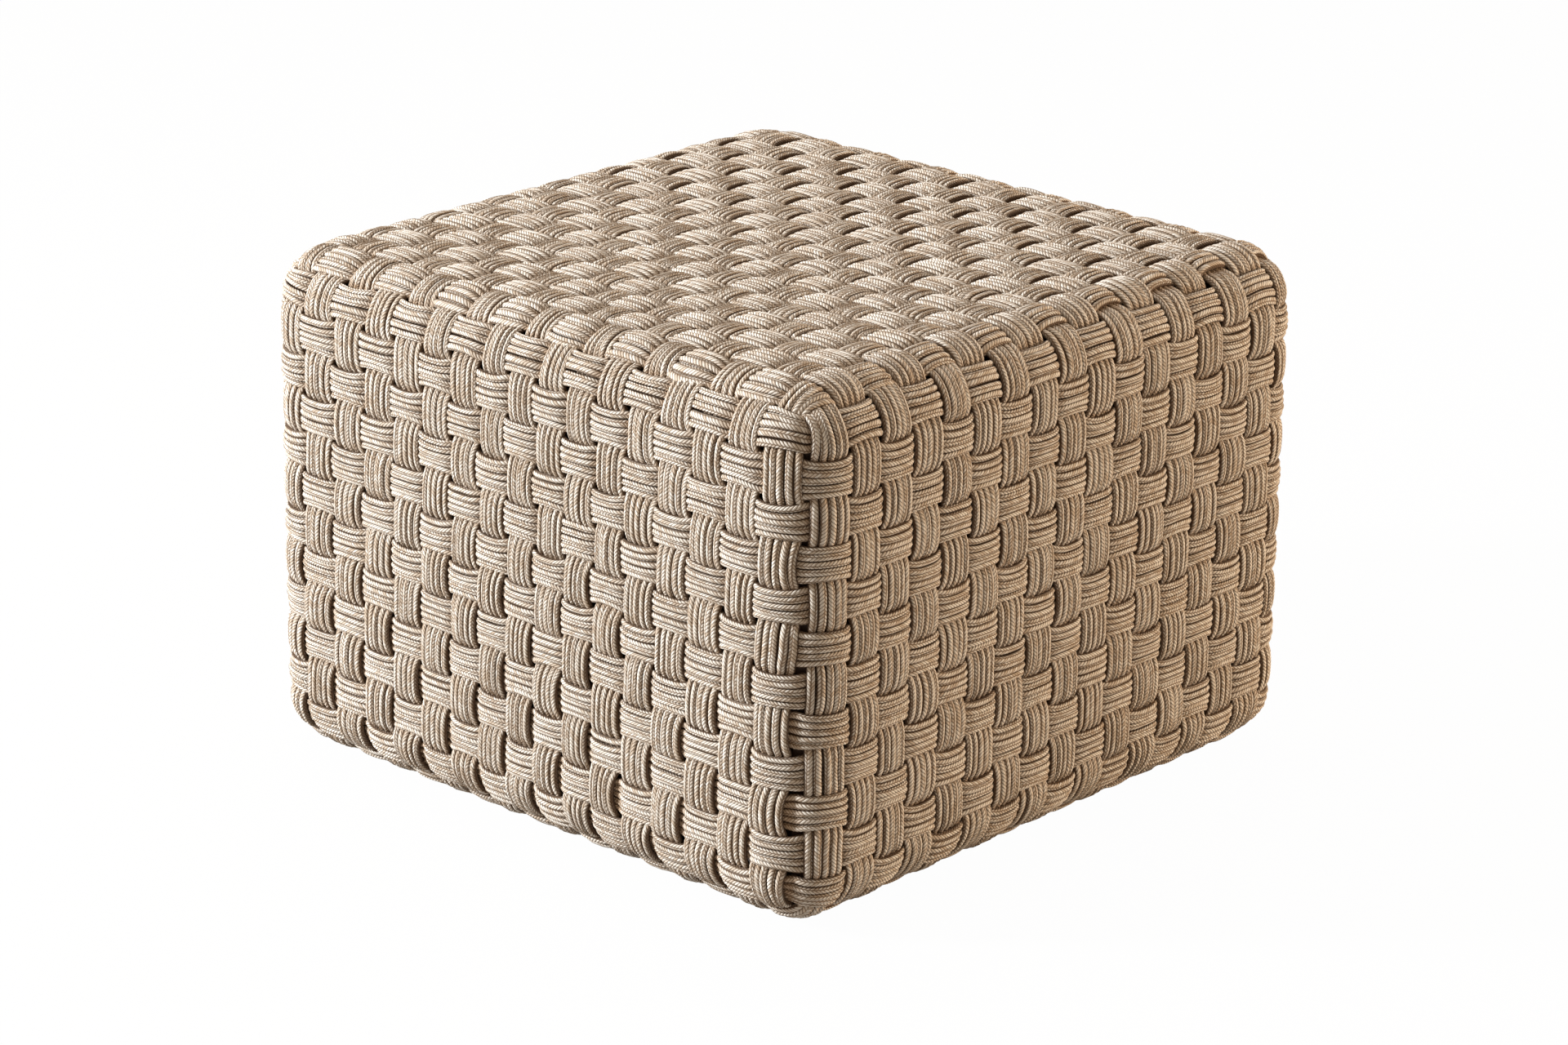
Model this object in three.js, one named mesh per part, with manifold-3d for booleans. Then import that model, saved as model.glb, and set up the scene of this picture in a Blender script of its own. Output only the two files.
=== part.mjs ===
// Outdoor ottoman footstool: a square block of basket weave over a round tube frame.
// Three families of flat cord bands cover the frame, each band a closed loop. Lengthwise bands
// run over the top from front to back, crosswise bands from side to side, and hoop bands
// level round the four walls. Every band passes over one band and under the next.
// Millimetres, +Z up, front towards -Y, origin on the floor under the middle of the stool.

import * as THREE from 'three';
import Module from 'manifold-3d';
import { mergeVertices } from 'three/addons/utils/BufferGeometryUtils.js';

const wasm = await Module();
wasm.setup();

// Driving sizes of the whole stool
const width = 610;
const depth = 610;
const weaveHeight = 432;
const standHeight = 4; // the glides hold the weave this far off the floor
const edgeRadius = 45; // of every edge, at the middle of the weave's thickness

// The weave
const bandThickness = 4.4;
const bandGap = 0.3; // least space between two bands where they cross
const coverShare = 0.9; // a band's width as a share of the space between its neighbours
const crowding = 6; // how far the lengthwise bands draw in towards the middle
const diveShare = 0.84; // of a band's half width, left where it dives under another
const cornerShare = 0.4; // of a band's half width, left beside a corner where three bands meet
const nearShare = 0.75; // of a band's half width, left where two outermost bands cross
const bandCounts = { x: 17, y: 17, z: 12 };

// How far round its rounded edge the outermost band of each family sits, in degrees
const edgeTilts = { x: [22, 20], y: [25, 30], z: [22.5, 25] };

// The frame inside
const tubeDiameter = 32;
const tubeBend = 30; // bend radius of a ring's corners, at the tube's middle
const frameGap = 0.3; // between the frame's parts, and between the frame and the weave
const postReach = 6; // how far a post runs past the flat walls before the ring copes it
const barReach = 6; // how far a bar runs past the flat walls before the ring copes it
const seatBarWidth = 40;
const seatBarHeight = 20;
const seatBarSpacing = 190;
const baseBarWidth = 30;
const baseBarHeight = 12;

// The glides under the base bars
const glideDiameter = 24;
const glideEdge = 1; // chamfer round the sole
const pinDiameter = 2.6;
const pinDepth = 8; // into the base bar
const pinClearance = 0.3;
const glideBand = 3; // a glide stands between this band and the next, counted from the edge

// Smoothness of round parts
const tubeSides = 10;
const bendSteps = 4;
const glideSides = 12;
const pinSides = 8;

// Worked out from the sizes above
const waveRise = (bandThickness + bandGap) / (2 - coverShare);
const skin = waveRise + bandThickness / 2; // from the weave's middle to its outer or inner peaks
const midShare = (1 + diveShare) / 2;
const tubeRadius = tubeDiameter / 2;
const pinRadius = pinDiameter / 2;
const seatRadius = edgeRadius - skin - frameGap; // of the space that an edge leaves the frame
const tubeOffset = (seatRadius - tubeRadius) * Math.SQRT1_2; // a tube touches that space
const halves = { x: width / 2 - skin, y: depth / 2 - skin, z: weaveHeight / 2 - skin };
const flats = {
  x: halves.x - edgeRadius,
  y: halves.y - edgeRadius,
  z: halves.z - edgeRadius,
};
const middleHeight = standHeight + weaveHeight / 2;

const cordColour = new THREE.MeshStandardMaterial({ color: 0xc2ad90, roughness: 0.95 });
const frameColour = new THREE.MeshStandardMaterial({
  color: 0x6b4a35,
  roughness: 0.55,
  metalness: 0.3,
});
const glideColour = new THREE.MeshStandardMaterial({ color: 0x2e2a27, roughness: 0.6 });

const stool = new THREE.Group();

function addMesh(name, geometry, material) {
  const mesh = new THREE.Mesh(geometry, material);
  mesh.name = name;
  stool.add(mesh);
  return mesh;
}

const twoDigits = (number) => String(number).padStart(2, '0');
const radians = THREE.MathUtils.degToRad;

// Closed sweeps and cuts

// Joins equal rings of points end to end into one closed loop of triangles.
function closedSweep(rings) {
  const sides = rings[0].length;
  const positions = rings.flat().flatMap((p) => [p.x, p.y, p.z]);
  const index = [];
  for (let r = 0; r < rings.length; r++) {
    const here = r * sides;
    const next = ((r + 1) % rings.length) * sides;
    for (let i = 0; i < sides; i++) {
      const j = (i + 1) % sides;
      index.push(here + i, here + j, next + j);
      index.push(here + i, next + j, next + i);
    }
  }
  const geometry = new THREE.BufferGeometry();
  geometry.setAttribute('position', new THREE.Float32BufferAttribute(positions, 3));
  geometry.setIndex(index);
  return geometry;
}

function solidOf(geometry) {
  const bare = geometry.clone();
  bare.deleteAttribute('normal');
  bare.deleteAttribute('uv');
  const merged = mergeVertices(bare);
  return new wasm.Manifold(
    new wasm.Mesh({
      numProp: 3,
      vertProperties: merged.attributes.position.array,
      triVerts: new Uint32Array(merged.index.array),
    }),
  );
}

function geometryOf(solid) {
  const mesh = solid.getMesh();
  const geometry = new THREE.BufferGeometry();
  geometry.setAttribute('position', new THREE.BufferAttribute(mesh.vertProperties, 3));
  geometry.setIndex(new THREE.BufferAttribute(mesh.triVerts, 1));
  return geometry;
}

function cut(geometry, ...tools) {
  const solid = tools.reduce((rest, tool) => rest.subtract(solidOf(tool)), solidOf(geometry));
  return geometryOf(solid);
}

// Where the bands run

// One station for each band of a family, from its low side to its high side. place is the
// band's plane, flat is where the flat wall carries it, and lean is the sine of its tilt
// round the rounded edge, which only the outermost bands have.
function stationsOf(axis, sway) {
  const count = bandCounts[axis];
  const flat = flats[axis];
  const [low, high] = edgeTilts[axis].map(
    (tilt) => flat + edgeRadius * Math.sin(radians(tilt)),
  );
  return Array.from({ length: count }, (_, i) => {
    const share = i / (count - 1);
    const even = THREE.MathUtils.lerp(-low, high, share);
    const place = even + sway * Math.sin(2 * Math.PI * share);
    const onFlat = THREE.MathUtils.clamp(place, -flat, flat);
    return { place, flat: onFlat, lean: (place - onFlat) / edgeRadius };
  });
}

const stations = { x: stationsOf('x', crowding), y: stationsOf('y', 0), z: stationsOf('z', 0) };

// The distance of a station along the weave's surface from the middle of its walls
const surfacePlace = (station) => station.flat + edgeRadius * Math.asin(station.lean);

// The space from an outermost band round the edge to the nearest band of another family
function spaceRoundEdge(axis, end) {
  const own = edgeTilts[axis][end];
  const others = Object.keys(edgeTilts).filter((other) => other !== axis);
  const widest = Math.max(...others.flatMap((other) => edgeTilts[other]));
  return edgeRadius * radians(90 - own - widest);
}

// Every band covers the same share of the narrower space beside it.
for (const axis of Object.keys(stations)) {
  const family = stations[axis];
  family.forEach((station, i) => {
    const below = family[i - 1];
    const above = family[i + 1];
    const spaceBelow = below
      ? surfacePlace(station) - surfacePlace(below)
      : spaceRoundEdge(axis, 0);
    const spaceAbove = above
      ? surfacePlace(above) - surfacePlace(station)
      : spaceRoundEdge(axis, 1);
    station.halfWidth = (coverShare * Math.min(spaceBelow, spaceAbove)) / 2;
  });
}

// The bands

// The two axes that a band's loop lies in: it leaves the top or back wall along the first.
const loopAxes = { x: ['y', 'z'], y: ['x', 'z'], z: ['x', 'y'] };

// The direction across a band that lies on a surface facing out, to the right of its travel
function acrossBand(axis, out) {
  const [first, second] = loopAxes[axis];
  const travel = new THREE.Vector3();
  travel[first] = out[second];
  travel[second] = -out[first];
  return out.clone().cross(travel.normalize());
}

// The places of one band's loop: one for each band that it crosses, one for the shoulder
// between the outermost band and the next, and one halfway round each rounded edge. A place
// has a point in the middle of the band, its outward direction, and the share of its half
// width that the corner leaves it.
function bandPlaces(axis, station, startsOver) {
  const [first, second] = loopAxes[axis];
  const walls = [
    { wall: second, side: 1, along: first, order: 1 },
    { wall: first, side: 1, along: second, order: -1 },
    { wall: second, side: -1, along: first, order: -1 },
    { wall: first, side: -1, along: second, order: 1 },
  ];
  let over = !startsOver;
  const crossings = walls.map(({ wall, side, along, order }) => {
    const crossed = order > 0 ? stations[along] : [...stations[along]].reverse();
    return crossed.map((other) => {
      const core = new THREE.Vector3();
      core[axis] = station.flat;
      core[along] = other.flat;
      core[wall] = side * flats[wall];
      const out = new THREE.Vector3();
      out[axis] = station.lean;
      out[along] = other.lean;
      out[wall] = side * Math.sqrt(1 - station.lean ** 2 - other.lean ** 2);
      over = !over;
      const rise = over ? waveRise : -waveRise;
      const point = core.clone().addScaledVector(out, edgeRadius + rise);
      const pinch = over ? 1 : diveShare;
      const cornerPinch = other.lean === 0 ? pinch : nearShare;
      return { point, core, out, over, along, other, order, pinch, cornerPinch };
    });
  });
  return crossings.flatMap((places, w) => {
    const wallPlaces = places.flatMap((place, i) => {
      const fromEnd = places.length - 1 - i;
      if (!place.over || (i > 1 && fromEnd > 1)) {
        return [place];
      }
      const ahead = i === 0 || fromEnd === 1;
      const held = shoulder(axis, station, place, ahead ? 1 : -1);
      return ahead ? [place, held] : [held, place];
    });
    return [...wallPlaces, edgePlace(axis, station, places.at(-1), crossings[(w + 1) % 4][0])];
  });
}

// A band that passes over another is held clear of that band's edge, on the side that lies
// ahead or behind, where the edge meets the band's own plane.
function shoulder(axis, station, { core, out, along, other, order }, direction) {
  const across = acrossBand(along, out);
  const side = Math.sign(across[along]) * order * direction;
  const edge = out.clone().cross(across);
  const upright = new THREE.Vector3();
  const wall = loopAxes[axis].find((name) => name !== along);
  upright[axis] = station.lean;
  upright[wall] = Math.sign(out[wall]) * Math.sqrt(1 - station.lean ** 2);
  const point = core
    .clone()
    .addScaledVector(out, edgeRadius - waveRise + bandThickness / 2 + bandGap)
    .addScaledVector(across, side * other.halfWidth * diveShare)
    .addScaledVector(upright, bandThickness / 2);
  point.addScaledVector(edge, (station.place - point[axis]) / edge[axis]);
  return { point, out: upright, pinch: midShare };
}

// Halfway round an edge a band stands out far enough to clear the bands beside it, and an
// outermost band draws in on the side of the corner.
function edgePlace(axis, station, before, after) {
  const [first, second] = loopAxes[axis];
  const upright = Math.sqrt(1 - station.lean ** 2);
  const out = before.out.clone().add(after.out);
  out[axis] = 0;
  out.setLength(upright);
  out[axis] = station.lean;
  const core = new THREE.Vector3();
  core[axis] = station.flat;
  core[first] = Math.sign(out[first]) * flats[first];
  core[second] = Math.sign(out[second]) * flats[second];
  const under = edgeRadius - waveRise + bandThickness / 2;
  const beside = diveShare * Math.max(before.other.halfWidth, after.other.halfWidth);
  const keel = Math.hypot(under, beside / upright) + bandGap;
  return {
    point: core.addScaledVector(out, keel + bandThickness / 2),
    out,
    pinch: midShare,
    cornerPinch: cornerShare,
  };
}

// A band's section is flat outside and has its keel inside, so that crossing bands clear each
// other in the middle of every crossing.
function bandRing(axis, station, { point, out, pinch, cornerPinch = pinch }) {
  const across = acrossBand(axis, out);
  const cornerSide = Math.sign(across[axis]) * Math.sign(station.lean);
  const halfOn = (side) => station.halfWidth * (side === cornerSide ? cornerPinch : pinch);
  const inside = point.clone().addScaledVector(out, -bandThickness / 2);
  const outside = point.clone().addScaledVector(out, bandThickness / 2);
  const corners = [
    inside,
    outside.clone().addScaledVector(across, halfOn(1)),
    outside.clone().addScaledVector(across, -halfOn(-1)),
  ];
  return corners.map((corner) => corner.setZ(corner.z + middleHeight));
}

function addBand(name, axis, station, startsOver) {
  const rings = bandPlaces(axis, station, startsOver).map((place) =>
    bandRing(axis, station, place),
  );
  addMesh(name, closedSweep(rings), cordColour);
}

stations.x.forEach((station, i) => {
  addBand(`lengthwise_band_${twoDigits(i + 1)}`, 'x', station, i % 2 === 0);
});
stations.y.forEach((station, i) => {
  addBand(`crosswise_band_${twoDigits(i + 1)}`, 'y', station, i % 2 === 1);
});
// Hoops are numbered from the top.
[...stations.z].reverse().forEach((station, i) => {
  addBand(`hoop_band_${twoDigits(i + 1)}`, 'z', station, i % 2 === 0);
});

// The frame

// One tube bent into a rounded rectangle
function ringGeometry(level, offset, radius) {
  const rings = [];
  const straight = { x: flats.x + offset - tubeBend, y: flats.y + offset - tubeBend };
  for (let corner = 0; corner < 4; corner++) {
    const signX = corner === 0 || corner === 3 ? 1 : -1;
    const signY = corner < 2 ? 1 : -1;
    for (let step = 0; step <= bendSteps; step++) {
      const turn = (Math.PI / 2) * (corner + step / bendSteps);
      const outward = new THREE.Vector3(Math.cos(turn), Math.sin(turn), 0);
      const middle = new THREE.Vector3(signX * straight.x, signY * straight.y, level);
      middle.addScaledVector(outward, tubeBend);
      const ring = [];
      for (let i = 0; i < tubeSides; i++) {
        const angle = (2 * Math.PI * (i + 0.5)) / tubeSides;
        ring.push(
          middle
            .clone()
            .addScaledVector(outward, radius * Math.cos(angle))
            .setZ(level - radius * Math.sin(angle)),
        );
      }
      rings.push(ring);
    }
  }
  return closedSweep(rings);
}

const ringLevel = flats.z + tubeOffset;
const topLevel = middleHeight + ringLevel;
const bottomLevel = middleHeight - ringLevel;
const clearRadius = tubeRadius + frameGap;
const ringTools = [
  ringGeometry(topLevel, tubeOffset, clearRadius),
  ringGeometry(bottomLevel, tubeOffset, clearRadius),
];
addMesh('top_ring', ringGeometry(topLevel, tubeOffset, tubeRadius), frameColour);
addMesh('bottom_ring', ringGeometry(bottomLevel, tubeOffset, tubeRadius), frameColour);

for (const [sideName, sideX] of [['left', 0], ['right', 1]]) {
  for (const [wallName, sideY] of [['front', 0], ['back', 1]]) {
    const height = 2 * (flats.z + postReach);
    const post = new THREE.CylinderGeometry(tubeRadius, tubeRadius, height, tubeSides);
    post.rotateX(Math.PI / 2);
    post.rotateZ(Math.PI / tubeSides);
    post.translate(
      (2 * sideX - 1) * (flats.x + tubeOffset),
      (2 * sideY - 1) * (flats.y + tubeOffset),
      middleHeight,
    );
    addMesh(`post_${wallName}_${sideName}`, cut(post, ...ringTools), frameColour);
  }
}

// Bars under the seat run front to back, with their tops against the weave.
const wallSeat = flats.z + seatRadius;
for (const [name, side] of [['left', -1], ['right', 1]]) {
  const bar = new THREE.BoxGeometry(seatBarWidth, 2 * (flats.y + barReach), seatBarHeight);
  bar.translate((side * seatBarSpacing) / 2, 0, middleHeight + wallSeat - seatBarHeight / 2);
  addMesh(`seat_bar_${name}`, cut(bar, ringTools[0]), frameColour);
}

// A glide stands in the opening between four bands, on a pin into the base bar above it.
const openingBetween = (family, number) =>
  (family[number - 1].place + family[number].place) / 2;
const glideColumns = {
  left: openingBetween(stations.x, glideBand),
  right: openingBetween(stations.x, bandCounts.x - glideBand),
};
const glideRows = {
  front: openingBetween(stations.y, glideBand),
  back: openingBetween(stations.y, bandCounts.y - glideBand),
};
const baseBarBottom = middleHeight - wallSeat;
const padTop = standHeight - frameGap;

for (const [wallName, y] of Object.entries(glideRows)) {
  const bar = new THREE.BoxGeometry(2 * (flats.x + barReach), baseBarWidth, baseBarHeight);
  bar.translate(0, y, baseBarBottom + baseBarHeight / 2);
  const holes = Object.values(glideColumns).map((x) => {
    const depthOfHole = pinDepth + pinClearance;
    const holeRadius = pinRadius + pinClearance;
    const hole = new THREE.CylinderGeometry(
      holeRadius,
      holeRadius,
      2 * depthOfHole,
      pinSides,
    );
    hole.rotateX(Math.PI / 2);
    hole.translate(x, y, baseBarBottom);
    return hole;
  });
  addMesh(`base_bar_${wallName}`, cut(bar, ringTools[1], ...holes), frameColour);

  for (const [sideName, x] of Object.entries(glideColumns)) {
    const padRadius = glideDiameter / 2;
    const profile = [
      [0, 0],
      [padRadius - glideEdge, 0],
      [padRadius, glideEdge],
      [padRadius, padTop],
      [pinRadius, padTop],
      [pinRadius, baseBarBottom + pinDepth],
      [0, baseBarBottom + pinDepth],
    ].map(([radius, level]) => new THREE.Vector2(radius, level));
    const glide = new THREE.LatheGeometry(profile, glideSides);
    glide.rotateX(Math.PI / 2);
    const mesh = addMesh(`glide_${wallName}_${sideName}`, glide, glideColour);
    mesh.position.set(x, y, 0);
  }
}

export default stool;
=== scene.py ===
import math
import bpy
import numpy as np
from mathutils import Matrix, Vector


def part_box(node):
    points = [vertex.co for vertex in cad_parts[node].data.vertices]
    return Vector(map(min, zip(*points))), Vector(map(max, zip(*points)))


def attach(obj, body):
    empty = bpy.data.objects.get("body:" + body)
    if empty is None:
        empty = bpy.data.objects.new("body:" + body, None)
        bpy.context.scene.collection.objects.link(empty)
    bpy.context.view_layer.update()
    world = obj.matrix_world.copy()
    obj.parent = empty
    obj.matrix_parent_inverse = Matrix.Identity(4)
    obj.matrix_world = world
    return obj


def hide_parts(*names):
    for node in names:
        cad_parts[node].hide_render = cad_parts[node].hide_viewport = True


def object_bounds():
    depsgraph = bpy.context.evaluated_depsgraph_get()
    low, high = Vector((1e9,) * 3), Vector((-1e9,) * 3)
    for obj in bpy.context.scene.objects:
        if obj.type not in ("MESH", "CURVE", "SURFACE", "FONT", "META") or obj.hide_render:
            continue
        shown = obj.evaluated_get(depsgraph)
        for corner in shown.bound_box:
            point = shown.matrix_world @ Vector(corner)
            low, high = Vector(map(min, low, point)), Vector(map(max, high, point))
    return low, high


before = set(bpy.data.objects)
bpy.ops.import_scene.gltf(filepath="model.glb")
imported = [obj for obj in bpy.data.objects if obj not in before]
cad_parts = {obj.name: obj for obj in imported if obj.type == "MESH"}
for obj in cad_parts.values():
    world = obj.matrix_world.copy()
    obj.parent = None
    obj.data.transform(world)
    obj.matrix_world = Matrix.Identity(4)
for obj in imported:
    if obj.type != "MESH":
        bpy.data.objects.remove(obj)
cad_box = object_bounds()

# Outdoor ottoman footstool: rope basket weave over a tube frame.
# Three families of closed bands go round a block with rounded edges, each one over, one under.
# Each flat band of the CAD is made here as five braided ropes that lie side by side.
# Metres, +Z up, front towards -Y.

# The bands of each family, by the axis across them, and the two axes that their loops run along
FAMILIES = {"x": ("lengthwise_band", 17), "y": ("crosswise_band", 17), "z": ("hoop_band", 12)}
LOOP_AXES = {"x": ("y", "z"), "y": ("x", "z"), "z": ("x", "y")}
AXIS_NUMBER = {"x": 0, "y": 1, "z": 2}

# The block
EDGE_RADIUS = 0.045  # of every edge, at the middle of the weave's thickness
CAD_SKIN = 0.00647  # from the middle of the weave to the outside of the CAD's bands
OUTER_TILTS = {"x": (22, 15), "y": (22, 30), "z": (22.5, 28)}  # of each outermost band, degrees
WIDEST_SPACE = 0.036  # at most, from an outermost band to what it meets round the edge
FRONT_LEAN = 0.005  # sideways, of the lengthwise bands near the long edges of the front

# The wave of a rope over and under, measured from the middle of the weave's thickness
HUMP_RISES = {  # outwards at the top of a hump, for each family on the walls of each axis
    "x": {"y": 0.0050, "z": 0.0047},
    "y": {"x": 0.0048, "z": 0.0045},
    "z": {"x": 0.0048, "y": 0.0048},
}
DIVE_DEPTH = 0.0016  # inwards at the bottom of a dive
WAVE_ROUNDNESS = 0.45  # higher for rounder humps, lower for flat ones with steep ends
CROWN = 0.0011  # the middle rope of a hump stands this far above its outer ropes

# How much of the space between its neighbours a band fills
OVER_SHARES = {  # at the top of a hump, for each family on the walls of each axis
    "x": {"y": 0.84, "z": 0.82},
    "y": {"x": 0.88, "z": 0.99},
    "z": {"x": 0.83, "y": 0.82},
}
SLOPE_SHARE = 0.915  # between a hump and a dive, where the ropes fan out
UNDER_SHARE = 0.76  # at the bottom of a dive

# The ropes of a band
ROPES_IN_BAND = 5
ROPE_THICKNESS = 0.0062
ROPE_SPREAD = 1.06  # a rope's width as a share of the spacing, so that neighbours touch
DIVE_SQUEEZE = 0.18  # of a rope's thickness, pressed flat where it passes under
CORNER_SHARE = 0.62  # of a rope's place in its band, left beside a corner of the block

# Unevenness of handwork, as the usual size of an error
WANDER = 0.0008  # of a whole band, sideways
ROPE_WANDER = 0.00028  # of one rope in its band, sideways
ROPE_LIFT = 0.00022  # of one rope in its band, outwards
WIDTH_VARIATION = 0.03  # of a band's width, as a share

# How finely the ropes are made
RINGS_PER_CROSSING = 8
ROPE_SIDES = 8
SLOPE_CROWDING = 0.08  # moves rings from the humps and dives to the slopes between them

# The braid of a rope
BRAID_COLUMNS = 4  # of slanting strands round a rope
STRAND_PITCH = 0.0029  # along a rope
TURNS_PER_METRE = 1.1  # of a rope about itself
ROPE_STEP = 64  # between the numbers of two ropes in the braid's coordinates
LENGTHWISE_ROPES = FAMILIES["x"][1] * ROPES_IN_BAND  # the first ropes. As many crosswise ones follow.


# The weave

class Band:
    """Where one band of a family runs, in distance along the weave from the block's middle"""

    def __init__(self, axis, number, middle):
        self.axis = axis
        self.name = f"{FAMILIES[axis][0]}_{number:02d}"
        self.middle = middle
        self.starts_over = number % 2 == (0 if axis == "y" else 1)  # at its loop's first crossing
        self.spaces = None  # below and above the band, to the bands beside it

    def space(self, place):
        """The space for a rope at a place below, above or in the middle of the band"""
        below, above = self.spaces
        if place == 0:
            return (below + above) / 2
        return below if place < 0 else above


def round_edge(along, flat):
    """A distance along the weave as a place on the flat wall and an angle round the edge"""
    on_flat = np.clip(along, -flat, flat)
    return on_flat, (along - on_flat) / EDGE_RADIUS


def space_round_edge(axis, tilt):
    """From an outermost band round the edge to the outermost bands of the other families"""
    others = [angle for other in FAMILIES if other != axis for angle in OUTER_TILTS[other]]
    left = math.radians(90 - tilt - sum(others) / len(others))
    return min(EDGE_RADIUS * left, WIDEST_SPACE)


def block_shape():
    """The block's middle, and how far its flat walls reach from there on each axis. A band from
    the middle of its family goes right round the block."""
    low_x, high_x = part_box("crosswise_band_09")
    low_y, high_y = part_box("lengthwise_band_09")
    middle = Vector((low_x[0] + high_x[0], low_y[1] + high_y[1], low_x[2] + high_x[2])) / 2
    half = (high_x - low_x) / 2
    reach = {"x": half[0], "y": (high_y - low_y)[1] / 2, "z": half[2]}
    return middle, {axis: size - CAD_SKIN - EDGE_RADIUS for axis, size in reach.items()}


def make_bands(middle, flats):
    """The bands of each family, from the low side to the high side of its axis"""
    families = {}
    for axis, (stem, count) in FAMILIES.items():
        bands = []
        for number in range(1, count + 1):
            low, high = (corner[AXIS_NUMBER[axis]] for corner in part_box(f"{stem}_{number:02d}"))
            bands.append(Band(axis, number, (low + high) / 2 - middle[AXIS_NUMBER[axis]]))
        if axis == "z":
            bands.reverse()
        for band, side, tilt in zip((bands[0], bands[-1]), (-1, 1), OUTER_TILTS[axis]):
            band.middle = side * (flats[axis] + EDGE_RADIUS * math.radians(tilt))
        first_space, last_space = (space_round_edge(axis, tilt) for tilt in OUTER_TILTS[axis])
        spaces = [first_space, *np.diff([band.middle for band in bands]), last_space]
        for band, below, above in zip(bands, spaces, spaces[1:]):
            band.spaces = (below, above)
        families[axis] = bands
    return families


def smooth(t):
    """A smooth rise from 0 to 1"""
    return (1 - np.cos(np.pi * t)) / 2


class Loop:
    """The closed path of one band: places from one crossing to the next all the way round.
    Every value is a grid with a row for each crossing and a column for each ring after it."""

    def __init__(self, band, families, flats):
        self.band = band
        self.flats = flats
        first, second = LOOP_AXES[band.axis]
        self.walls = [  # the wall's axis and side, and the axis and direction that the band runs
            (second, 1, first, 1),
            (first, 1, second, -1),
            (second, -1, first, -1),
            (first, -1, second, 1),
        ]
        upright = math.cos(round_edge(band.middle, flats[band.axis])[1])
        self.quarter = EDGE_RADIUS * upright * math.pi / 2
        crossings = []
        start = 0.0
        is_over = band.starts_over
        for wall, side, along, order in self.walls:
            for other in families[along][::order]:
                on_flat, angle = round_edge(order * other.middle, flats[along])
                turn = math.asin(math.sin(angle) / upright)
                mark = start + flats[along] + on_flat + self.quarter * turn / (math.pi / 2)
                over = 1.0 if is_over else -1.0
                over_share, hump_rise = OVER_SHARES[band.axis][wall], HUMP_RISES[band.axis][wall]
                hump_end = 1 - OVER_SHARES[along][wall] / 2
                crossings.append((mark, over, over_share, hump_rise, hump_end))
                is_over = not is_over
            start += 2 * flats[along] + self.quarter
        self.length = start
        self.marks, self.over, self.over_shares, self.hump_rises, self.hump_ends = np.array(crossings).T
        share = np.arange(RINGS_PER_CROSSING) / RINGS_PER_CROSSING
        self.t = (share + SLOPE_CROWDING * np.sin(2 * np.pi * share))[None, :]
        gaps = np.diff(np.append(self.marks, self.marks[0] + self.length))
        self.along = (self.marks[:, None] + self.t * gaps[:, None]) % self.length
        self.locate()

    def locate(self):
        """The middle of the rounding, the direction outwards in the loop's own plane, and 1 in the
        middle of each corner of the loop, falling to 0 on its walls"""
        self.core = np.zeros(self.along.shape + (3,))
        self.facing = np.zeros(self.along.shape + (3,))
        self.at_corner = np.zeros(self.along.shape)
        start = 0.0
        for w, (wall, side, along, order) in enumerate(self.walls):
            next_wall, next_side = self.walls[(w + 1) % len(self.walls)][:2]
            reach = 2 * self.flats[along]
            here = (self.along >= start) & (self.along < start + reach + self.quarter)
            past = np.clip(self.along - start, 0, reach)
            angle = np.clip(self.along - start - reach, 0, self.quarter) / self.quarter * math.pi / 2
            core = np.zeros(self.core.shape)
            core[..., AXIS_NUMBER[wall]] = side * self.flats[wall]
            core[..., AXIS_NUMBER[along]] = order * (past - self.flats[along])
            facing = np.zeros(self.core.shape)
            facing[..., AXIS_NUMBER[wall]] = side * np.cos(angle)
            facing[..., AXIS_NUMBER[next_wall]] = next_side * np.sin(angle)
            self.core[here] = core[here]
            self.facing[here] = facing[here]
            self.at_corner[here] = np.sin(2 * angle)[here]
            start += reach + self.quarter

    def between(self, at_crossings):
        """Values given at the crossings, joined smoothly"""
        following = np.roll(at_crossings, -1)
        return at_crossings[:, None] + (following - at_crossings)[:, None] * smooth(self.t)

    def uneven(self, amount, rng):
        """An error of handwork, different at each crossing"""
        return amount * self.between(rng.normal(0, 1, len(self.marks)))

    def wave(self):
        """1 at the top of every hump, 0 at its ends, and near -1 at the bottom of every dive. A
        hump ends beside the band that its rope dives under."""
        bias = -np.cos(np.pi * self.between(self.hump_ends))
        plain = (self.over[:, None] * np.cos(np.pi * self.t) + bias) / (1 + bias)
        return plain * np.sqrt((1 + WAVE_ROUNDNESS**2) / (plain**2 + WAVE_ROUNDNESS**2))

    def front_lean(self):
        """Sideways one way near the upper edge of the front and the other way near the lower edge,
        and the same at the back. The front is the last wall of a lengthwise loop."""
        front_middle = self.length - self.quarter - self.flats["z"]
        return FRONT_LEAN * np.sin(4 * np.pi * (self.along - front_middle) / self.length)

    def points(self, sideways, rise):
        """The places of a rope that lies sideways from the band's middle, and its outward
        directions"""
        axis = AXIS_NUMBER[self.band.axis]
        on_flat, tilt = round_edge(self.band.middle + sideways, self.flats[self.band.axis])
        out = self.facing * np.cos(tilt)[..., None]
        out[..., axis] = np.sin(tilt)
        points = self.core + out * (EDGE_RADIUS + rise)[..., None]
        points[..., axis] += on_flat
        return points.reshape(-1, 3), out.reshape(-1, 3)


def unit(vectors):
    """Vectors at a length of 1"""
    return vectors / np.linalg.norm(vectors, axis=-1, keepdims=True)


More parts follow.
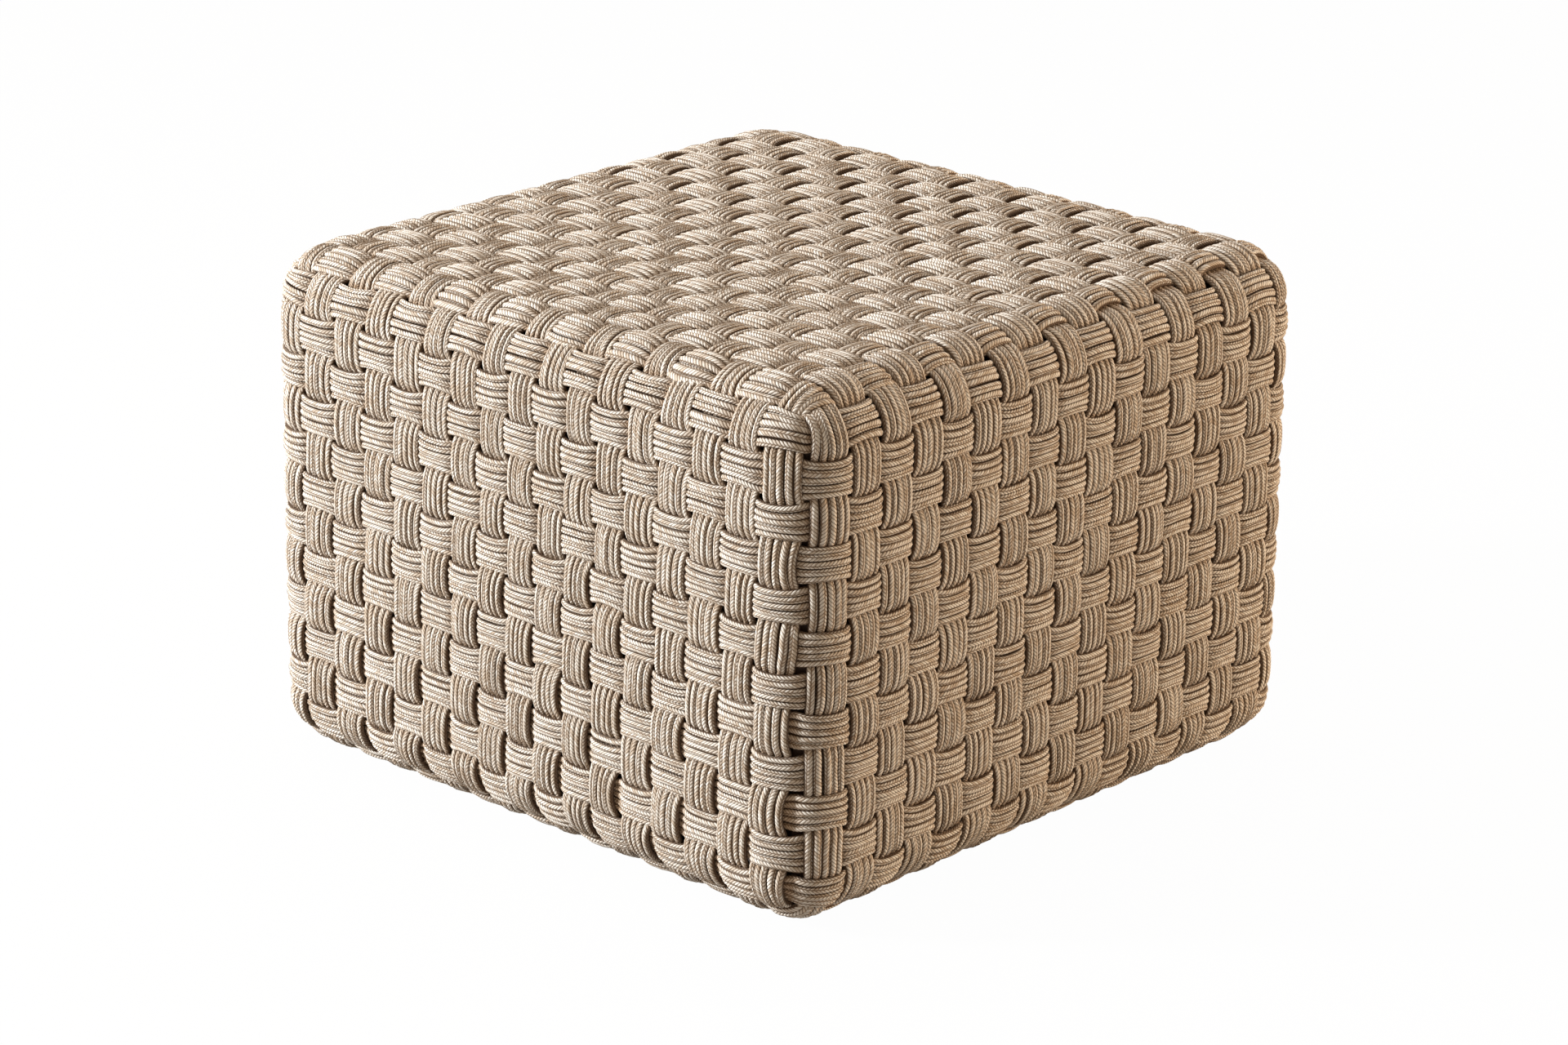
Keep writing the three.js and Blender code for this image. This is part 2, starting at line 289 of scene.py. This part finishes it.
def rope_tube(points, out, size, over, number, rng):
    """The rings of one closed rope, and the two pairs of coordinates at each corner of its faces.
    size is the rope's width and its thickness in the direction out, at each ring."""
    travel = unit(np.roll(points, -1, axis=0) - np.roll(points, 1, axis=0))
    out = unit(out - travel * np.sum(out * travel, axis=1, keepdims=True))
    across = np.cross(travel, out)
    angles = 2 * np.pi * np.arange(ROPE_SIDES) / ROPE_SIDES
    ring = np.cos(angles)[None, :, None] * (across * size[:, :1])[:, None, :]
    ring = ring + np.sin(angles)[None, :, None] * (out * size[:, 1:])[:, None, :]
    corners = points[:, None, :] + ring / 2

    steps = np.linalg.norm(np.roll(points, -1, axis=0) - points, axis=1)
    travelled = np.concatenate([[0.0], np.cumsum(steps)])
    length = travelled[-1]
    strands = round(length / STRAND_PITCH)
    turns = round(length * TURNS_PER_METRE)
    share = travelled / length
    start = rng.uniform(0, BRAID_COLUMNS)
    braid = np.zeros((len(points) + 1, ROPE_SIDES + 1, 2))
    braid[..., 0] = BRAID_COLUMNS * np.arange(ROPE_SIDES + 1)[None, :] / ROPE_SIDES
    braid[..., 0] += (start + BRAID_COLUMNS * turns * share)[:, None] + ROPE_STEP * number
    braid[..., 1] = strands * share[:, None]
    shade = np.zeros(braid.shape)
    shade[..., 0] = np.sin(np.append(angles, 0.0))[None, :]
    shade[..., 1] = np.append(over, over[0])[:, None]
    return corners, braid, shade


def mesh_of_tubes(name, tubes):
    """One mesh of several closed tubes. Its UV map "braid" counts columns round a rope and strands
    along it. Its UV map "shade" says how far out a place faces, and how high the rope rides."""
    corners, faces, maps = [], [], {"braid": [], "shade": []}
    base = 0
    for points, braid, shade in tubes:
        rings = len(points)
        number = base + np.arange(rings * ROPE_SIDES).reshape(rings, ROPE_SIDES)
        ahead = np.roll(number, -1, axis=0)
        beside = np.roll(number, -1, axis=1)
        quads = np.stack([number, ahead, np.roll(ahead, -1, axis=1), beside], -1)
        corners.append(points.reshape(-1, 3))
        faces.append(quads.reshape(-1, 4))
        for grid, made in ((braid, maps["braid"]), (shade, maps["shade"])):
            made.append(np.stack([grid[:-1, :-1], grid[1:, :-1], grid[1:, 1:], grid[:-1, 1:]], 2))
        base += rings * ROPE_SIDES
    mesh = bpy.data.meshes.new(name)
    mesh.from_pydata(np.concatenate(corners).tolist(), [], np.concatenate(faces).tolist())
    for map_name, made in maps.items():
        layer = mesh.uv_layers.new(name=map_name)
        values = np.concatenate([grid.reshape(-1, 2) for grid in made])
        layer.data.foreach_set("uv", values.astype(np.float32).ravel())
    mesh.polygons.foreach_set("use_smooth", np.ones(len(mesh.polygons), dtype=bool))
    mesh.update()
    return mesh


def lay_ropes(loop, middle, first_number, rng):
    """The ropes of one band side by side, as tubes"""
    band = loop.band
    wave = loop.wave()
    over = (wave + 1) / 2
    far_share = np.where(wave > 0, loop.between(loop.over_shares), UNDER_SHARE)
    share = SLOPE_SHARE + (far_share - SLOPE_SHARE) * wave**2
    share = share * (1 + loop.uneven(WIDTH_VARIATION, rng))
    hump_rise = loop.between(loop.hump_rises)
    plain_rise = (hump_rise + DIVE_DEPTH) / 2 * wave + (hump_rise - DIVE_DEPTH) / 2 * wave**2
    thickness = ROPE_THICKNESS * (1 - DIVE_SQUEEZE * (1 - over) ** 2)
    band_sideways = loop.uneven(WANDER, rng)
    if band.axis == "x":
        band_sideways += loop.front_lean()
    flat = loop.flats[band.axis]
    outermost = abs(band.middle) > flat
    outer_place = (ROPES_IN_BAND - 1) / 2
    tubes = []
    for number in range(ROPES_IN_BAND):
        place = number - outer_place
        spacing = (band.space(place) * share - ROPE_THICKNESS) / (ROPES_IN_BAND - 1)
        sideways = place * spacing + band_sideways + loop.uneven(ROPE_WANDER, rng)
        if outermost and place * band.middle > 0:
            sideways = sideways * (1 - (1 - CORNER_SHARE) * loop.at_corner**2)
        crown_drop = CROWN * over * (place / outer_place) ** 2
        rise = plain_rise - crown_drop + loop.uneven(ROPE_LIFT, rng)
        points, out = loop.points(sideways, rise)
        on_edge = np.abs(band.middle + sideways) > flat
        width = spacing * ROPE_SPREAD * (1 + on_edge * rise.clip(0) / EDGE_RADIUS)
        size = np.stack([width.ravel(), thickness.ravel()], axis=1)
        tubes.append(rope_tube(points + middle, out, size, over.ravel(), first_number + number, rng))
    return tubes


def make_ropes(band, families, flats, middle, first_number, finish):
    """The ropes of one band, as one piece that stands for the band's CAD node"""
    rng = np.random.default_rng(first_number)
    tubes = lay_ropes(Loop(band, families, flats), np.array(middle), first_number, rng)
    name = f"{band.name}_ropes"
    piece = bpy.data.objects.new(name, mesh_of_tubes(name, tubes))
    bpy.context.scene.collection.objects.link(piece)
    piece.data.materials.append(finish)
    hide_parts(band.name)
    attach(piece, "root")


# Finishes

class Value:
    """A socket of a shader that carries one value, in ordinary arithmetic"""

    def __init__(self, shader, socket):
        self.shader = shader
        self.socket = socket

    def _math(self, operation, *inputs):
        return self.shader.node("ShaderNodeMath", {"operation": operation}, dict(enumerate(inputs)))

    def __add__(self, other):
        return self._math("ADD", self, other)

    def __radd__(self, other):
        return self._math("ADD", other, self)

    def __sub__(self, other):
        return self._math("SUBTRACT", self, other)

    def __rsub__(self, other):
        return self._math("SUBTRACT", other, self)

    def __mul__(self, other):
        return self._math("MULTIPLY", self, other)

    def __rmul__(self, other):
        return self._math("MULTIPLY", other, self)

    def __truediv__(self, other):
        return self._math("DIVIDE", self, other)

    def __rtruediv__(self, other):
        return self._math("DIVIDE", other, self)

    def __mod__(self, other):
        return self._math("FLOORED_MODULO", self, other)

    def __rmod__(self, other):
        return self._math("FLOORED_MODULO", other, self)

    def floor(self):
        return self._math("FLOOR", self)

    def at_most(self, other):
        return self._math("MINIMUM", self, other)

    def step(self, low, high):
        """0 below low, 1 above high, and a smooth rise between them"""
        sockets = {"Value": self, "From Min": low, "From Max": high}
        return self.shader.node("ShaderNodeMapRange", {"interpolation_type": "SMOOTHSTEP"}, sockets)


class Shader:
    """The nodes of a material or of the surroundings"""

    def __init__(self, owner):
        owner.use_nodes = True
        self.owner = owner
        self.tree = owner.node_tree
        self.tree.nodes.clear()

    def add(self, kind, settings=None, sockets=None):
        """Adds a node. Its settings are set before its sockets."""
        node = self.tree.nodes.new(kind)
        for name, value in (settings or {}).items():
            setattr(node, name, value)
        for name, value in (sockets or {}).items():
            if isinstance(value, Value):
                self.tree.links.new(value.socket, node.inputs[name])
            else:
                node.inputs[name].default_value = value
        return node

    def node(self, kind, settings=None, sockets=None, output=0):
        """Adds a node and returns one of its outputs"""
        return Value(self, self.add(kind, settings, sockets).outputs[output])

    def parts(self, vector):
        """The X, Y and Z of a vector"""
        split = self.add("ShaderNodeSeparateXYZ", {}, {"Vector": vector})
        return [Value(self, output) for output in split.outputs]

    def place(self):
        """Where a point is, in metres"""
        return self.node("ShaderNodeTexCoord", output="Object")

    def mix(self, share, low, high, blend="MIX"):
        """Two colours mixed. The node's colours are its inputs 6 and 7 and its output 2."""
        settings = {"data_type": "RGBA", "blend_type": blend}
        return self.node("ShaderNodeMix", settings, {"Factor": share, 6: low, 7: high}, 2)

    def noise(self, place, scale, detail):
        """Cloudy noise, with scale clouds to a metre"""
        sockets = {"Vector": place, "Scale": scale, "Detail": detail}
        return self.node("ShaderNodeTexNoise", {}, sockets)

    def bump(self, height, distance):
        """A relief that is distance deep, in metres"""
        return self.node("ShaderNodeBump", {}, {"Height": height, "Distance": distance})

    def finish(self, **sockets):
        """The material, with the sockets of its main shader given by name"""
        named = {name.replace("_", " "): value for name, value in sockets.items()}
        surface = self.node("ShaderNodeBsdfPrincipled", {}, named)
        self.add("ShaderNodeOutputMaterial", {}, {"Surface": surface})
        return self.owner


ROPE_CREAM = (0.93, 0.855, 0.765, 1)
ROPE_SAND = (0.63, 0.50, 0.38, 1)
ROPE_GROOVE_SHADE = (0.19, 0.112, 0.058, 1)  # painted shade in the groove between two strands
ROPE_SHADE = (0.095, 0.05, 0.024, 1)  # painted shade between two ropes
ROPE_DIVE_SHADE = (0.62, 0.46, 0.32, 1)  # painted shade where a rope dives under: what it leaves of the colour
ROPE_ROUGHNESS = 0.78
ROPE_GLOSS = 0.2
GROOVE_ROUGHNESS = 0.16  # more than the rope
STRAND_SLANT = 1.5  # how far a strand runs while it crosses its column, in strands
STRAND_BULGE = 0.5  # how far a strand falls to its edges, as a share of its height
BRAID_RELIEF = 0.0010
FIBRE_RELIEF = 0.2  # as a share of the braid's relief
GROOVE_END = 0.6  # how round the braid is where a groove ends
# How strongly the painted shade in the grooves is laid on
GROOVE_SHADE_STRENGTH = 0.9
SIDE_LIMITS = (0.42, 0.92)  # how far outwards a rope faces, from full painted shade to clear
SIDE_RAGGEDNESS = 0.2  # how far the strands break the edge of that shade
# How strongly the painted shade between ropes is laid on
SIDE_SHADE_STRENGTH = 0.9
TOP_SHADE_EASING = 0.38  # less of that painted shade on the crosswise ropes on top, so that they look paler
TOP_LIMITS = (0.0327, 0.0077)  # down from the highest point, from not on top to on top
DIVE_LIMITS = (0.25, 0.95)  # how high a rope rides, from full painted shade to clear
# How strongly the painted shade of a dive is laid on
DIVE_SHADE_STRENGTH = 0.75
STRAND_TONE = 0.9  # how much single strands differ between cream and sand
ROPE_TONE = 0.2  # the same for whole ropes
LENGTHWISE_SHADE = 0.12  # painted shade towards sand, of every lengthwise rope
PATCH_TONE = 0.35  # for patches of the weave
FIBRE_TONE = 0.5  # for fibres
TONE_LIMITS = (0.64, 1.64)  # of these tones together, from all cream to all sand


def rounded(across):
    """1 in the middle of a strand or a column and 0 at its edges, which are half a width away"""
    return 1 - 4 * across * across


def braided_rope():
    """Slanting strands in columns round the rope, alternately to the left and to the right. The
    sides of a rope and the ends that dive under are darkened with painted shade."""
    shader = Shader(bpy.data.materials.new("braided_rope"))
    around, along = shader.parts(shader.node("ShaderNodeUVMap", {"uv_map": "braid"}))[:2]
    outwards, over = shader.parts(shader.node("ShaderNodeUVMap", {"uv_map": "shade"}))[:2]
    place = shader.place()

    column = around.floor()
    slants_back = column % 2
    across_column = around - column - 0.5
    slant = (1 - 2 * slants_back) * across_column * STRAND_SLANT
    strands = along + slant + 0.5 * slants_back
    strand = strands.floor()
    strand_round = rounded(strands - strand - 0.5)
    column_round = rounded(across_column)
    height = strand_round * STRAND_BULGE + (1 - STRAND_BULGE)
    height = height * (column_round * STRAND_BULGE + (1 - STRAND_BULGE))
    # Where the braid's grooves are: they get painted shade and a rougher surface
    groove = 1 - (strand_round * column_round).step(0.0, GROOVE_END)
    # Painted shade on the sides of a rope, where it turns towards its neighbours
    side = 1 - (outwards + strand_round * SIDE_RAGGEDNESS).step(*SIDE_LIMITS)
    # Painted shade where a rope dives under the band it crosses
    dive = 1 - over.step(*DIVE_LIMITS)

    rope = (around / ROPE_STEP).floor()
    family = (rope / LENGTHWISE_ROPES).floor()
    lengthwise = 1 - family.at_most(1.0)
    crosswise = family % 2
    highest = cad_box[1][2]
    on_top = shader.parts(place)[2].step(*(highest - down for down in TOP_LIMITS))
    number = shader.node("ShaderNodeCombineXYZ", {}, {"X": column, "Y": strand})
    tone = shader.node("ShaderNodeTexWhiteNoise", {"noise_dimensions": "2D"}, {"Vector": number})
    rope_tone = shader.node("ShaderNodeTexWhiteNoise", {"noise_dimensions": "1D"}, {"W": rope})
    patches = shader.noise(place, scale=28.0, detail=3.0)
    fibres = shader.noise(place, scale=1500.0, detail=2.0)

    # Random tones of strands and ropes, and painted shade on every lengthwise rope
    sand = tone * STRAND_TONE + rope_tone * ROPE_TONE + lengthwise * LENGTHWISE_SHADE
    sand = (sand + patches * PATCH_TONE + fibres * FIBRE_TONE).step(*TONE_LIMITS)
    colour = shader.mix(sand, ROPE_CREAM, ROPE_SAND)
    # Painted shade, browner, where a rope dives under
    colour = shader.mix(dive * DIVE_SHADE_STRENGTH, colour, ROPE_DIVE_SHADE, "MULTIPLY")
    # Painted shade in the grooves between strands
    colour = shader.mix(groove * GROOVE_SHADE_STRENGTH, colour, ROPE_GROOVE_SHADE)
    # Painted shade between ropes, less of it on the crosswise ropes on top
    colour = shader.mix(side * (SIDE_SHADE_STRENGTH - TOP_SHADE_EASING * on_top * crosswise), colour, ROPE_SHADE)
    return shader.finish(
        Base_Color=colour,
        Roughness=ROPE_ROUGHNESS + GROOVE_ROUGHNESS * groove,
        Normal=shader.bump(height + fibres * FIBRE_RELIEF, BRAID_RELIEF),
        Specular_IOR_Level=ROPE_GLOSS,
    )


COAT_BROWN = (0.115, 0.060, 0.036, 1)
COAT_RUBBED = (0.17, 0.10, 0.065, 1)
COAT_ROUGHNESS = 0.42
RUBBED_TONE = 0.5
RUBBED_ROUGHNESS = 0.2  # more than the coat
RUBBED_LIMITS = (0.45, 0.8)  # of the noise, from whole to rubbed
PEEL_ROUGHNESS = 0.08
PEEL_RELIEF = 0.0002


def powder_coat():
    """Brown powder coat with a fine orange peel, a little rubbed where it was handled"""
    shader = Shader(bpy.data.materials.new("brown_powder_coat"))
    place = shader.place()
    peel = shader.noise(place, scale=900.0, detail=2.0)
    rubbed = shader.noise(place, scale=14.0, detail=4.0).step(*RUBBED_LIMITS)
    return shader.finish(
        Base_Color=shader.mix(rubbed * RUBBED_TONE, COAT_BROWN, COAT_RUBBED),
        Roughness=COAT_ROUGHNESS + RUBBED_ROUGHNESS * rubbed + PEEL_ROUGHNESS * peel,
        Normal=shader.bump(peel, PEEL_RELIEF),
    )


NYLON_BLACK = (0.022, 0.020, 0.018, 1)
NYLON_SCUFFED = (0.09, 0.085, 0.08, 1)
NYLON_ROUGHNESS = 0.5
SCUFF_TONE = 0.5
SCUFF_ROUGHNESS = 0.25  # more than the nylon
SCUFF_LIMITS = (0.55, 0.75)  # of the noise, from whole to scuffed
GRAIN_RELIEF = 0.00008


def moulded_nylon():
    """Dark nylon with a spark-eroded grain, scuffed grey"""
    shader = Shader(bpy.data.materials.new("moulded_nylon"))
    place = shader.place()
    grain = shader.noise(place, scale=2200.0, detail=1.0)
    scuffs = shader.noise(place, scale=160.0, detail=5.0).step(*SCUFF_LIMITS)
    return shader.finish(
        Base_Color=shader.mix(scuffs * SCUFF_TONE, NYLON_BLACK, NYLON_SCUFFED),
        Roughness=NYLON_ROUGHNESS + SCUFF_ROUGHNESS * scuffs,
        Normal=shader.bump(grain, GRAIN_RELIEF),
    )


# Frame and glides

CORNERS = [f"{wall}_{side}" for wall in ("front", "back") for side in ("left", "right")]
FRAME_NODES = ["top_ring", "bottom_ring", "seat_bar_left", "seat_bar_right"]
FRAME_NODES += ["base_bar_front", "base_bar_back", *(f"post_{corner}" for corner in CORNERS)]
GLIDE_NODES = [f"glide_{corner}" for corner in CORNERS]


def dress(node_names, finish):
    """Gives the CAD solids that stay a finish of their own"""
    for name in node_names:
        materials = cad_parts[name].data.materials
        materials.clear()
        materials.append(finish)


# Camera, light and surroundings

CAMERA_AZIMUTH = math.radians(42.58)  # to the right of straight in front
CAMERA_ELEVATION = math.radians(19.37)
CAMERA_ROLL = math.radians(0.63)
CAMERA_DISTANCE = 3.795
CAMERA_AIM = Vector((0.0059, -0.0054, 0.1973))
CAMERA_LENS = 105.5
LIGHT_AIM = Vector((0, 0, 0.2))
LIGHTS = {  # power in watts
    "key_light": {"place": (-3.0, -3.4, 1.65), "size": 0.7, "power": 344, "colour": (0.91, 0.96, 1.0)},
    "fill_light": {"place": (2.7, 2.9, 0.55), "size": 0.6, "power": 108, "colour": (1.0, 0.77, 0.54)},
    "top_light": {"place": (-0.5, 0.4, 3.4), "size": 2.0, "power": 31, "colour": (1.0, 0.97, 0.94)},
}
WHITE = (1, 1, 1, 1)
SURROUND_TINT = (1.0, 0.81, 0.60, 1)
SURROUND_STRENGTH = 0.32  # of the light on the stool. The backdrop itself is at 1.
FLOOR_SIZE = 12.0
FLOOR_COLOUR = (0.45, 0.43, 0.41, 1)
FLOOR_GLOW = 1.02  # a little over white, so that no horizon shows
FLOOR_GLOW_SHARE = 0.96  # of what the camera sees. The rest shows the shadow.


def make_camera():
    """A camera at the angle and the distance of the photograph's"""
    azimuth_sine, azimuth_cosine = math.sin(CAMERA_AZIMUTH), math.cos(CAMERA_AZIMUTH)
    flat = math.cos(CAMERA_ELEVATION)
    back = Vector((azimuth_sine * flat, -azimuth_cosine * flat, math.sin(CAMERA_ELEVATION)))
    level = Vector((azimuth_cosine, azimuth_sine, 0))
    right = level * math.cos(CAMERA_ROLL) + back.cross(level) * math.sin(CAMERA_ROLL)
    turn = Matrix((right, back.cross(right), back)).transposed().to_4x4()
    camera = bpy.data.objects.new("camera", bpy.data.cameras.new("camera"))
    camera.matrix_world = Matrix.Translation(CAMERA_AIM + back * CAMERA_DISTANCE) @ turn
    camera.data.lens = CAMERA_LENS
    bpy.context.scene.collection.objects.link(camera)
    bpy.context.scene.camera = camera


def make_light(name, place, size, power, colour):
    """An area light that faces the stool"""
    light = bpy.data.lights.new(name, "AREA")
    light.size = size
    light.energy = power
    light.color = colour
    lamp = bpy.data.objects.new(name, light)
    lamp.location = place
    lamp.rotation_euler = (LIGHT_AIM - lamp.location).to_track_quat("-Z", "Y").to_euler()
    bpy.context.scene.collection.objects.link(lamp)


def seen_directly(shader):
    """1 for what the camera sees itself, or in a reflection or through glass"""
    path = shader.add("ShaderNodeLightPath")
    camera, glossy, through = (
        Value(shader, path.outputs[name])
        for name in ("Is Camera Ray", "Is Glossy Ray", "Is Transmission Ray")
    )
    return (camera + glossy + through).at_most(1.0)


def make_surroundings():
    """A white backdrop, and an even light on the stool"""
    world = bpy.data.worlds.new("studio")
    bpy.context.scene.world = world
    shader = Shader(world)
    seen = seen_directly(shader)
    glow = SURROUND_STRENGTH + seen * (1.0 - SURROUND_STRENGTH)
    colour = shader.mix(seen, SURROUND_TINT, WHITE)
    background = shader.node("ShaderNodeBackground", {}, {"Color": colour, "Strength": glow})
    shader.add("ShaderNodeOutputWorld", {}, {"Surface": background})


def make_floor():
    """A pale floor that looks white and keeps the stool's shadow"""
    shader = Shader(bpy.data.materials.new("pale_floor"))
    matt = shader.node("ShaderNodeBsdfDiffuse", {}, {"Color": FLOOR_COLOUR})
    white = shader.node("ShaderNodeEmission", {}, {"Color": WHITE, "Strength": FLOOR_GLOW})
    share = seen_directly(shader) * FLOOR_GLOW_SHARE
    surface = shader.node("ShaderNodeMixShader", {}, {0: share, 1: matt, 2: white})
    shader.add("ShaderNodeOutputMaterial", {}, {"Surface": surface})
    half = FLOOR_SIZE / 2
    corners = [(-half, -half, 0), (half, -half, 0), (half, half, 0), (-half, half, 0)]
    mesh = bpy.data.meshes.new("floor")
    mesh.from_pydata(corners, [], [(0, 1, 2, 3)])
    mesh.materials.append(shader.owner)
    floor = bpy.data.objects.new("floor", mesh)
    bpy.context.scene.collection.objects.link(floor)


bpy.context.scene.view_settings.view_transform = "Standard"
make_camera()
make_surroundings()
for light_name, light in LIGHTS.items():
    make_light(light_name, **light)
make_floor()

block_middle, flat_walls = block_shape()
band_families = make_bands(block_middle, flat_walls)
all_bands = [band for family in band_families.values() for band in family]
rope_finish = braided_rope()
for i, band in enumerate(all_bands):
    make_ropes(band, band_families, flat_walls, block_middle, i * ROPES_IN_BAND, rope_finish)

dress(FRAME_NODES, powder_coat())
dress(GLIDE_NODES, moulded_nylon())
